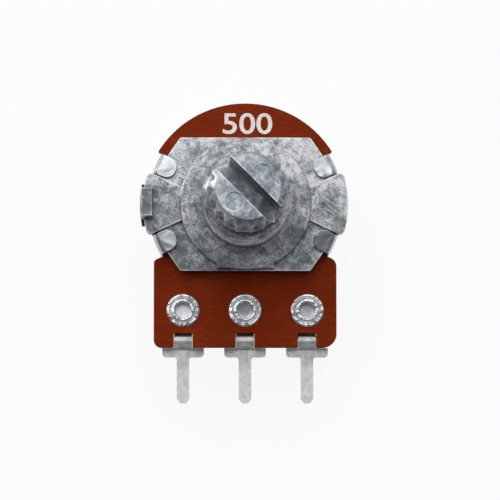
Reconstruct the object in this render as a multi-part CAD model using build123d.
from build123d import *
import os
from math import atan2, cos, degrees, hypot, radians, sin, sqrt, tan

# Rotary potentiometer of the 16 mm class, one gang, for a panel or a circuit board. Millimetres.
# The shaft turns about Z. The panel seats on the boss at z = 0 and the terminals leave towards -Y.

# Zinc mounting plate: bushing, boss, wings and tab seats
bushing_r = 3.5
bushing_length = 7.0
bushing_chamfer = 0.4
bore_r = 2.5
bore_chamfer = 0.2
boss_roof = 0.8
boss_wall = 0.7
boss_edge = 0.1
boss_flat_width = 4.6
boss_flat_step = 0.17
plate_margin = 0.07
plate_corner = 0.25
wing_rim = 0.4
wing_corner = 0.45
tab_seat_drop = 0.9
tab_sink = 0.1

# Locating lug on the left wing
lug_thickness = 1.1
lug_proud = 0.2
lug_width = 2.4
lug_height = 2.0
lug_draft = 1.5

# Shaft: split knurled head, journal, stepped tang
knurl_r = 3.0
knurl_root_r = 2.62
knurl_teeth = 18
knurl_crest = 0.16
knurl_root = 0.2
knurl_length = 7.0
knurl_run_out = 0.3
collar_r = 2.85
collar_length = 0.95
tip_chamfer = 0.55
slot_width = 1.45
slot_depth = 6.5
slot_angle = -45.0
pin_mark_r = 0.72
pin_mark_depth = 0.12
pin_mark_inset = 0.06
tang_step = 0.25
tang_half_flat = 1.45
drive_step = 0.35
drive_half_flat = 1.2
peened_rim = 0.25
peened_height = 0.3

# Stop washer, and the cast block that ends its turn
washer_overlap = 0.7
washer_thickness = 0.8
turn_each_way = 150.0
stop_block_half_angle = 15.0
stop_spare_angle = 0.5

# Phenolic board
board_thickness = 1.2
board_rim = 0.4
board_side_rim = 0.05
left_ear_rim = 0.65
right_ear_rim = 0.35
ear_half_angle = 11.5
board_half_width = 7.36
board_toe = 3.0
left_shoulder_round = 0.35
right_shoulder_round = 0.75
left_toe_round = 0.6
right_toe_round = 1.1

# Printed tracks on the rear of the board
print_thickness = 0.04
carbon_width = 1.2
collector_width = 1.0
track_gap = 0.6
track_overrun = 3.0
end_lap_angle = 10.0
lead_width = 1.2
pad_rim = 0.15

# Eyelets and terminals
terminal_pitch = 5.0
eyelet_drop = 8.5
eyelet_r = 0.85
eyelet_wall = 0.21
eyelet_flange_width = 0.5
eyelet_rear_flange_width = 0.35
eyelet_flange = 0.16
eyelet_lip = 0.32
eyelet_bore_depth = 1.3
terminal_sheet = 0.3
terminal_ring_width = 0.5
terminal_neck = 1.45
terminal_bend_r = 0.22
terminal_joggle = 0.4
hump_drop = 0.1
hump_land = 0.06
hump_rise_run = 0.1
hump_fall_run = 0.5
shoulder_width = 3.36
shoulder_height = 0.75
shoulder_round = 0.3
pin_width = 1.0
pin_length = 3.71
pin_tip_width = 0.45
pin_tip_length = 0.35
pin_root_round = 0.22
notch_depth = 1.15

# Drawn steel cover and its four tabs
cover_sheet = 0.4
cover_r = 7.85
cover_bend_r = 0.9
bend_facets = 2
window_half_angle = 42.0
window_height = 1.6
tab_angle = 25.0
tab_width = 1.7
tab_reach = 1.7
tab_end_round = 0.8

# Moulded carrier and wiper
carrier_disc = 1.2
carrier_disc_drop = 1.55
carrier_hub_tail = 0.65
carrier_edge = 0.4
peg_r = 0.35
peg_head_r = 0.62
peg_head = 0.25
peg_sides = 8
peg_angles = (158.0, 186.0)
wiper_sheet = 0.18
wiper_margin = 0.3
wiper_start_angle = 146.0
wiper_end_angle = 200.0
finger_width = 0.34
finger_gap = 0.12
fingers_each = 2
finger_root_x = -2.75
finger_tip_x = 0.4
finger_tip_turn = 0.25
finger_blank_angle = 45.0

# Clearances
running_gap = 0.05
end_float = 0.05
tab_side_gap = 0.1
tab_boss_gap = 0.85
washer_gap = 0.3
washer_board_gap = 0.25
tang_board_gap = 0.4
carrier_front_gap = 0.25
carrier_rim_gap = 0.85
cover_back_gap = 1.05
collector_hub_gap = 0.4
notch_side_gap = 0.03
notch_end_gap = 0.05
rivet_gap = 0.03
key_gap = 0.02
touch_gap = 0.02

# Radii and distances that follow from the sizes above
cover_inner_r = cover_r - cover_sheet
tab_end_r = cover_r - tab_reach
boss_r = tab_end_r - tab_boss_gap
plate_half_height = boss_r + plate_margin
plate_half_flat = boss_r - plate_margin
boss_flat_reach = plate_half_height - boss_flat_step
hollow_r = boss_r - boss_wall
journal_r = bore_r - running_gap
tang_r = journal_r - tang_step
drive_r = tang_r - drive_step
washer_r = bore_r + washer_overlap
washer_lug_r = hollow_r - washer_gap
stop_block_r = washer_r + washer_gap
washer_lug_half_angle = 180 - turn_each_way - stop_spare_angle - stop_block_half_angle
pin_mark_offset = slot_width / 2 + pin_mark_inset + pin_mark_r
tab_flat_distance = sqrt((cover_inner_r - tab_side_gap) ** 2 - (tab_width / 2) ** 2)
tab_slot_half = tab_width / 2 + tab_side_gap
wing_r = cover_r + wing_rim
board_r = cover_r + board_rim
board_side_r = cover_r + board_side_rim
left_ear_r = cover_r + left_ear_rim
right_ear_r = cover_r + right_ear_rim
board_foot = eyelet_drop + board_toe
board_hole_r = tang_r + tang_board_gap
carrier_disc_r = cover_inner_r - carrier_rim_gap
carbon_outer_r = carrier_disc_r - carrier_edge
carbon_inner_r = carbon_outer_r - carbon_width
collector_outer_r = carbon_inner_r - track_gap
collector_inner_r = collector_outer_r - collector_width
carrier_hub_r = collector_inner_r - collector_hub_gap
carbon_r = (carbon_inner_r + carbon_outer_r) / 2
collector_r = (collector_inner_r + collector_outer_r) / 2
track_half_angle = turn_each_way + track_overrun
wiper_inner_r = carrier_hub_r + wiper_margin
wiper_outer_r = carrier_disc_r - wiper_margin
peg_ring_r = (wiper_inner_r + wiper_outer_r) / 2
eyelet_bore_r = eyelet_r - eyelet_wall
eyelet_flange_r = eyelet_r + eyelet_flange_width
eyelet_rear_flange_r = eyelet_r + eyelet_rear_flange_width
eyelet_hole_r = eyelet_r + rivet_gap
terminal_ring_r = eyelet_r + terminal_ring_width
pad_r = terminal_ring_r + pad_rim
notch_width = terminal_neck + 2 * notch_side_gap
shoulder_top = -board_foot - touch_gap
shoulder_low = shoulder_top - shoulder_height
pin_end = shoulder_low - pin_length

# Levels, from the tip of the shaft down to the back of the cover
hollow_depth = end_float + washer_thickness + washer_board_gap
head_z = bushing_length + end_float
knurl_start_z = head_z + collar_length
tip_z = knurl_start_z + knurl_length
tab_seat_z = -tab_seat_drop
tab_top_z = tab_seat_z + cover_sheet
wing_z = tab_top_z + tab_sink
hollow_roof_z = -boss_roof
washer_front_z = hollow_roof_z - end_float
washer_rear_z = washer_front_z - washer_thickness
plate_rear_z = hollow_roof_z - hollow_depth
board_rear_z = plate_rear_z - board_thickness
print_z = board_rear_z - print_thickness
terminal_rear_z = print_z - terminal_sheet
ring_z = (print_z + terminal_rear_z) / 2
pin_z = ring_z + terminal_joggle
hump_z = plate_rear_z - hump_drop - terminal_sheet / 2
carrier_front_z = board_rear_z - carrier_front_gap
disc_front_z = carrier_front_z - carrier_disc_drop
wiper_front_z = disc_front_z + wiper_sheet
disc_rear_z = disc_front_z - carrier_disc
carrier_rear_z = disc_rear_z - carrier_hub_tail
shaft_end_z = carrier_rear_z - peened_height
cover_floor_z = shaft_end_z - cover_back_gap
cover_back_z = cover_floor_z - cover_sheet

# Where the terminals and the tabs stand
terminal_xs = {"left": -terminal_pitch, "middle": 0.0, "right": terminal_pitch}
tab_angles = (tab_angle, 180 - tab_angle, 180 + tab_angle, -tab_angle)


def between(profile, low, high):
    """Prism of a flat profile from one level to another."""
    return extrude(Pos(0, 0, low) * profile, amount=high - low)


def polar(r, angle):
    return (r * cos(radians(angle)), r * sin(radians(angle)))


def sector(inner_r, outer_r, start, end):
    """Flat ring sector from one angle to another, counter-clockwise."""
    middle = (start + end) / 2
    edges = Line(polar(inner_r, start), polar(outer_r, start))
    edges += ThreePointArc(polar(outer_r, start), polar(outer_r, middle), polar(outer_r, end))
    edges += Line(polar(outer_r, end), polar(inner_r, end))
    edges += ThreePointArc(polar(inner_r, end), polar(inner_r, middle), polar(inner_r, start))
    return make_face(edges)


def flatted(r, half_flat):
    """Round section with two flats, as the tang and its holes have."""
    return Circle(r) & Rectangle(2 * r, 2 * half_flat)


def along_tab(distance, side, angle):
    """Point at a distance out along a tab's direction and a distance to its side."""
    out_x, out_y = polar(distance, angle)
    return (out_x - side * sin(radians(angle)), out_y + side * cos(radians(angle)))


def tab_notch(angle, outer):
    """Flat cut-out that lets one tab past the edge of the plate or the board."""
    length = outer - tab_flat_distance
    place = Pos(*along_tab(tab_flat_distance + length / 2, 0, angle)) * Rot(0, 0, angle)
    return place * Rectangle(length, 2 * tab_slot_half)


def plate_outline():
    """Eight-sided casting with two wings; its slanted sides end where the tabs fold over."""
    upper = along_tab(tab_flat_distance, tab_slot_half, tab_angle)
    lower = along_tab(tab_flat_distance, -tab_slot_half, tab_angle)
    quarter = [(plate_half_flat, plate_half_height), upper, lower]
    right = quarter + [(x, -y) for x, y in reversed(quarter)]
    left = [(-x, -y) for x, y in right]
    outline = make_face(Polyline(*right, *left, close=True))
    corners = outline.vertices().filter_by(lambda v: abs(abs(v.Y) - plate_half_height) < 1e-6)
    return fillet(corners, plate_corner)


def wings():
    """Two raised pads that widen outwards along the sides of the tab seats."""
    inner = along_tab(0, -tab_slot_half, tab_angle)
    outer = along_tab(2 * wing_r, -tab_slot_half, tab_angle)
    right = make_face(Polyline(inner, outer, (outer[0], -outer[1]), (inner[0], -inner[1]), close=True))
    both = (right + Rot(0, 0, 180) * right) & Circle(wing_r)
    rim = both.vertices().filter_by(lambda v: sqrt(v.X**2 + v.Y**2) > wing_r - 0.01)
    return fillet(rim, wing_corner)


def make_mounting_plate():
    plate = between(plate_outline(), plate_rear_z, tab_seat_z)
    plate += between(wings(), plate_rear_z, wing_z)
    boss = between(Circle(boss_r) + Rectangle(boss_flat_width, 2 * boss_flat_reach), plate_rear_z, 0)
    plate += chamfer(boss.faces().sort_by(Axis.Z)[-1].edges(), boss_edge)
    lug = Rectangle(lug_thickness, lug_width)
    lug_place = Pos(lug_thickness / 2 - wing_r - lug_proud, 0, plate_rear_z)
    plate += extrude(lug_place * lug, amount=wing_z + lug_height - plate_rear_z, taper=lug_draft)
    bushing = Pos(0, 0, bushing_length / 2) * Cylinder(bushing_r, bushing_length)
    plate += chamfer(bushing.edges().sort_by(Axis.Z)[-1], bushing_chamfer)
    stop_block = sector(stop_block_r, boss_r, 270 - stop_block_half_angle, 270 + stop_block_half_angle)
    plate -= between(Circle(hollow_r) - stop_block, plate_rear_z, hollow_roof_z)
    plate -= between(Circle(bore_r), plate_rear_z, bushing_length)
    mouth = Pos(0, 0, bushing_length - bore_chamfer / 2)
    plate -= mouth * Cone(bore_r, bore_r + bore_chamfer, bore_chamfer)
    return plate


def knurl_profile():
    """Toothed outline of the head, with a tooth on the line of the slot."""
    pitch = 360 / knurl_teeth
    crest_half = degrees(knurl_crest / 2 / knurl_r)
    root_half = degrees(knurl_root / 2 / knurl_root_r)
    points = []
    for tooth in range(knurl_teeth):
        middle = slot_angle + tooth * pitch
        points += [polar(knurl_r, middle - crest_half), polar(knurl_r, middle + crest_half)]
        points += [polar(knurl_root_r, middle + pitch / 2 - root_half)]
        points += [polar(knurl_root_r, middle + pitch / 2 + root_half)]
    return make_face(Polyline(*points, close=True))


def make_shaft():
    head = between(knurl_profile(), knurl_start_z, tip_z)
    blank = between(Circle(knurl_r), knurl_start_z, tip_z)
    blank = chamfer(blank.edges().sort_by(Axis.Z)[-1], tip_chamfer)
    blank = chamfer(blank.edges().sort_by(Axis.Z)[0], knurl_run_out)
    shaft = head & blank
    shaft += between(Circle(collar_r), head_z, knurl_start_z + knurl_run_out)
    shaft += between(Circle(journal_r), washer_front_z, head_z)
    shaft += between(flatted(tang_r, tang_half_flat), carrier_front_z, washer_front_z)
    shaft += between(flatted(drive_r, drive_half_flat), carrier_rear_z, carrier_front_z)
    rivet = flatted(drive_r + peened_rim, drive_half_flat + peened_rim)
    shaft += between(rivet, shaft_end_z, carrier_rear_z)
    across = Rot(0, 0, slot_angle)
    shaft -= between(across * Rectangle(4 * knurl_r, slot_width), tip_z - slot_depth, tip_z)
    for side in (-1, 1):
        mark = across * Pos(0, side * pin_mark_offset) * Circle(pin_mark_r)
        shaft -= between(mark, tip_z - pin_mark_depth, tip_z)
    return shaft


def make_stop_washer():
    lug = sector(0.5 * washer_r, washer_lug_r, 90 - washer_lug_half_angle, 90 + washer_lug_half_angle)
    hole = flatted(tang_r + key_gap, tang_half_flat + key_gap)
    return between(Circle(washer_r) + lug - hole, washer_rear_z, washer_front_z)


def board_outline():
    """Round top, sides trimmed back to one ear each, a square foot, and cut-outs for the four tabs."""
    foot_height = board_foot - tab_flat_distance * sin(radians(tab_angle))
    foot = Pos(0, foot_height / 2 - board_foot) * Rectangle(2 * board_half_width, foot_height)
    outline = Circle(board_r) + foot
    for middle, ear_r in ((0, right_ear_r), (180, left_ear_r)):
        outline -= sector(board_side_r, 2 * board_r, middle - tab_angle, middle + tab_angle)
        outline += sector(0.5 * board_r, ear_r, middle - ear_half_angle, middle + ear_half_angle)
    for angle in tab_angles:
        outline -= tab_notch(angle, 2 * board_r)
    rounds = ((-1, left_shoulder_round, left_toe_round), (1, right_shoulder_round, right_toe_round))
    for side, shoulder, toe in rounds:
        edge = outline.vertices().filter_by(lambda v: abs(v.X - side * board_half_width) < 1e-6)
        edge = edge.sort_by(Axis.Y)
        outline = fillet(edge[0], toe)
        edge = outline.vertices().filter_by(lambda v: abs(v.X - side * board_half_width) < 1e-6)
        outline = fillet(edge.sort_by(Axis.Y)[-1], shoulder)
    return outline


def make_resistor_board():
    outline = board_outline() - Circle(board_hole_r)
    for x in terminal_xs.values():
        outline -= Pos(x, -eyelet_drop) * Circle(eyelet_hole_r)
        outline -= Pos(x, notch_depth / 2 - board_foot) * Rectangle(notch_width, notch_depth)
    return between(outline, board_rear_z, plate_rear_z)


def printed(profile, x=None):
    """Printed film on the rear of the board, with an eyelet's hole where it ends in a pad."""
    if x is not None:
        profile -= Pos(x, -eyelet_drop) * Circle(eyelet_hole_r)
    return between(profile, print_z, board_rear_z)


def make_carbon_track():
    return printed(sector(carbon_inner_r, carbon_outer_r, 90 - track_half_angle, 90 + track_half_angle))


def make_end_track(x):
    """Lead from an end of the carbon track to an outer eyelet, drawn on the right and mirrored."""
    end = 90 - track_half_angle
    lap = sector(carbon_inner_r, carbon_outer_r, end - end_lap_angle, end)
    start_x, start_y = polar(carbon_r, end - end_lap_angle / 2)
    run_x, run_y = abs(x) - start_x, -eyelet_drop - start_y
    middle = Pos(start_x + run_x / 2, start_y + run_y / 2) * Rot(0, 0, degrees(atan2(run_y, run_x)))
    lead = middle * Rectangle(hypot(run_x, run_y), lead_width)
    pad = Pos(abs(x), -eyelet_drop) * Circle(pad_r)
    profile = lap + lead + pad - sector(carbon_inner_r, carbon_outer_r, end, end + track_half_angle)
    if x < 0:
        profile = mirror(profile, about=Plane.YZ)
    return printed(profile, x)


def make_collector_track():
    lead_length = eyelet_drop - collector_r
    lead = Pos(0, -collector_r - lead_length / 2) * Rectangle(lead_width, lead_length)
    pad = Pos(0, -eyelet_drop) * Circle(pad_r)
    ring = Circle(collector_outer_r) + lead + pad - Circle(collector_inner_r)
    return printed(ring - Circle(board_hole_r), 0.0)


def make_eyelet(x):
    """Closed eyelet: a cup through board and terminal, its mouth curled at the front, headed behind."""
    front = plate_rear_z
    lip_mid = (eyelet_bore_r + eyelet_r) / 2
    bore_z = front - eyelet_bore_depth
    edges = Polyline((0, terminal_rear_z - eyelet_flange), (0, bore_z), (eyelet_bore_r, bore_z),
                     (eyelet_bore_r, front + eyelet_flange),
                     (lip_mid, front + eyelet_lip), (eyelet_flange_r, front + eyelet_flange),
                     (eyelet_flange_r, front), (eyelet_r, front), (eyelet_r, terminal_rear_z),
                     (eyelet_rear_flange_r, terminal_rear_z),
                     (eyelet_rear_flange_r, terminal_rear_z - eyelet_flange), close=True)
    section = Plane.XZ * make_face(edges)
    return Pos(x, -eyelet_drop) * revolve(section, Axis.Z)


def terminal_outline():
    """Flat blank of a terminal as seen from the front: ring, neck, shoulders and pin."""
    blank = Pos(0, -eyelet_drop) * Circle(terminal_ring_r)
    neck_height = -eyelet_drop - shoulder_low
    blank += Pos(0, -eyelet_drop - neck_height / 2) * Rectangle(terminal_neck, neck_height)
    bar = Rectangle(shoulder_width, shoulder_height)
    bar = fillet(bar.vertices().group_by(Axis.Y)[0], shoulder_round)
    blank += Pos(0, shoulder_top - shoulder_height / 2) * bar
    half, tip = pin_width / 2, pin_tip_width / 2
    pin = [(-half, shoulder_low), (-half, pin_end + pin_tip_length), (-tip, pin_end)]
    blank += make_face(Polyline(*pin, *[(-a, b) for a, b in reversed(pin)], close=True))
    roots = blank.vertices().filter_by(lambda v: abs(v.Y - shoulder_low) < 1e-6 and abs(v.X) < half + 1e-6)
    blank = fillet(roots, pin_root_round)
    return blank - Pos(0, -eyelet_drop) * Circle(eyelet_hole_r)


def make_terminal(x):
    """Stamped pin: its ring lies behind the board, and a hump fills the notch so that it can't turn."""
    rise_lead = terminal_bend_r * tan(atan2(hump_z - ring_z, hump_rise_run) / 2)
    fall_lead = terminal_bend_r * tan(atan2(hump_z - pin_z, hump_fall_run) / 2)
    rise_y = notch_depth - board_foot - notch_end_gap - rise_lead
    top_y = rise_y - hump_rise_run
    fall_y = top_y - rise_lead - hump_land - fall_lead
    route = FilletPolyline((0, -eyelet_drop + terminal_ring_r, ring_z), (0, rise_y, ring_z),
                           (0, top_y, hump_z), (0, fall_y, hump_z), (0, fall_y - hump_fall_run, pin_z),
                           (0, pin_end, pin_z), radius=terminal_bend_r)
    stops = [route @ 0]
    for edge in route.edges():
        flats = bend_facets if edge.geom_type == GeomType.CIRCLE else 1
        stops += [edge @ ((number + 1) / flats) for number in range(flats)]
    path = Polyline(*stops)
    section = Plane(path @ 0, x_dir=(1, 0, 0), z_dir=path % 0) * Rectangle(shoulder_width, terminal_sheet)
    strip = sweep(section, path, transition=Transition.RIGHT)
    return Pos(x, 0) * (strip & between(terminal_outline(), terminal_rear_z, plate_rear_z))


def bend(centre_r, centre_z, r, start, end):
    """Points along a rounded bend of a half section; the flats between them stand for its curve."""
    step = (end - start) / bend_facets
    offsets = [polar(r, start + number * step) for number in range(bend_facets + 1)]
    return [(centre_r + out, centre_z + up) for out, up in offsets]


def cover_section():
    """Half section of the cup, its wall carried up past the board and folded in over the plate."""
    fold_r = tab_side_gap + cover_sheet
    bend_r = cover_r - cover_bend_r
    bend_z = cover_back_z + cover_bend_r
    outer = [(0, cover_back_z)] + bend(bend_r, bend_z, cover_bend_r, -90, 0)
    outer += bend(cover_r - fold_r, tab_top_z - fold_r, fold_r, 0, 90) + [(tab_end_r, tab_top_z)]
    inner = [(tab_end_r, tab_seat_z)] + bend(cover_r - fold_r, tab_top_z - fold_r, tab_side_gap, 90, 0)
    inner += bend(bend_r, bend_z, cover_bend_r - cover_sheet, 0, -90) + [(0, cover_floor_z)]
    return Plane.XZ * make_face(Polyline(*outer, *inner, close=True))


def tab_tongue(angle):
    """Outline of one tab as seen from the front, with a rounded end."""
    length = cover_r + cover_sheet - tab_end_r
    tongue = Pos(tab_end_r + length / 2, 0) * Rectangle(length, tab_width)
    return Rot(0, 0, angle) * fillet(tongue.vertices().group_by(Axis.X)[0], tab_end_round)


def make_rear_cover():
    cover = revolve(cover_section(), Axis.Z)
    away = Circle(2 * cover_r)
    for angle in tab_angles:
        away -= tab_tongue(angle)
    cover -= between(away, board_rear_z, 0)
    window = sector(0.5 * cover_r, 1.5 * cover_r, 270 - window_half_angle, 270 + window_half_angle)
    return cover - between(window, board_rear_z - window_height, board_rear_z)


def make_wiper_carrier():
    carrier = between(Circle(carrier_hub_r), carrier_rear_z, carrier_front_z)
    carrier += between(Circle(carrier_disc_r), disc_rear_z, disc_front_z)
    for angle in peg_angles:
        place = Pos(*polar(peg_ring_r, angle))
        carrier += between(place * RegularPolygon(peg_r, peg_sides), disc_front_z, wiper_front_z)
        head = place * RegularPolygon(peg_head_r, peg_sides)
        carrier += between(head, wiper_front_z, wiper_front_z + peg_head)
    hole = flatted(drive_r + key_gap, drive_half_flat + key_gap)
    return carrier - between(hole, carrier_rear_z, carrier_front_z)


def wiper_blank():
    """Flat pattern of the wiper: a held flat, and curved fingers over the two tracks."""
    blank = sector(wiper_inner_r, wiper_outer_r, wiper_start_angle, wiper_end_angle)
    for angle in peg_angles:
        blank -= Pos(*polar(peg_ring_r, angle)) * RegularPolygon(peg_r + key_gap, peg_sides)
    finger_step = finger_width + finger_gap
    finger_end_angle = wiper_start_angle + (peg_angles[0] - wiper_start_angle) / 4
    for track_r in (collector_r, carbon_r):
        for number in range(fingers_each):
            inner_r = track_r + (number - fingers_each / 2) * finger_step + finger_gap / 2
            blank += sector(inner_r, inner_r + finger_width, finger_blank_angle, finger_end_angle)
    return blank


def make_wiper_contact():
    """Stamped spring: its fingers rise from the flat to touch the tracks, and turn back at their tips."""
    touch_z = print_z - touch_gap - wiper_sheet
    low = [(-carrier_disc_r, disc_front_z), (finger_root_x, disc_front_z), (0, touch_z),
           (finger_tip_x, touch_z - finger_tip_turn)]
    high = [(x, z + wiper_sheet) for x, z in reversed(low)]
    section = Plane.XZ * make_face(Polyline(*low, *high, close=True))
    return extrude(section, amount=carrier_disc_r, both=True) & between(wiper_blank(), disc_front_z, print_z)


parts = {
    "mounting_plate": make_mounting_plate(),
    "shaft": make_shaft(),
    "stop_washer": make_stop_washer(),
    "resistor_board": make_resistor_board(),
    "carbon_track": make_carbon_track(),
    "collector_track": make_collector_track(),
    "left_end_track": make_end_track(terminal_xs["left"]),
    "right_end_track": make_end_track(terminal_xs["right"]),
    "rear_cover": make_rear_cover(),
    "wiper_carrier": make_wiper_carrier(),
    "wiper_contact": make_wiper_contact(),
}
for side, x in terminal_xs.items():
    parts[side + "_eyelet"] = make_eyelet(x)
    parts[side + "_terminal"] = make_terminal(x)

os.makedirs("parts", exist_ok=True)
for name, shape in parts.items():
    export_step(shape, "parts/" + name + ".step")
    print(name, round(shape.volume, 3))
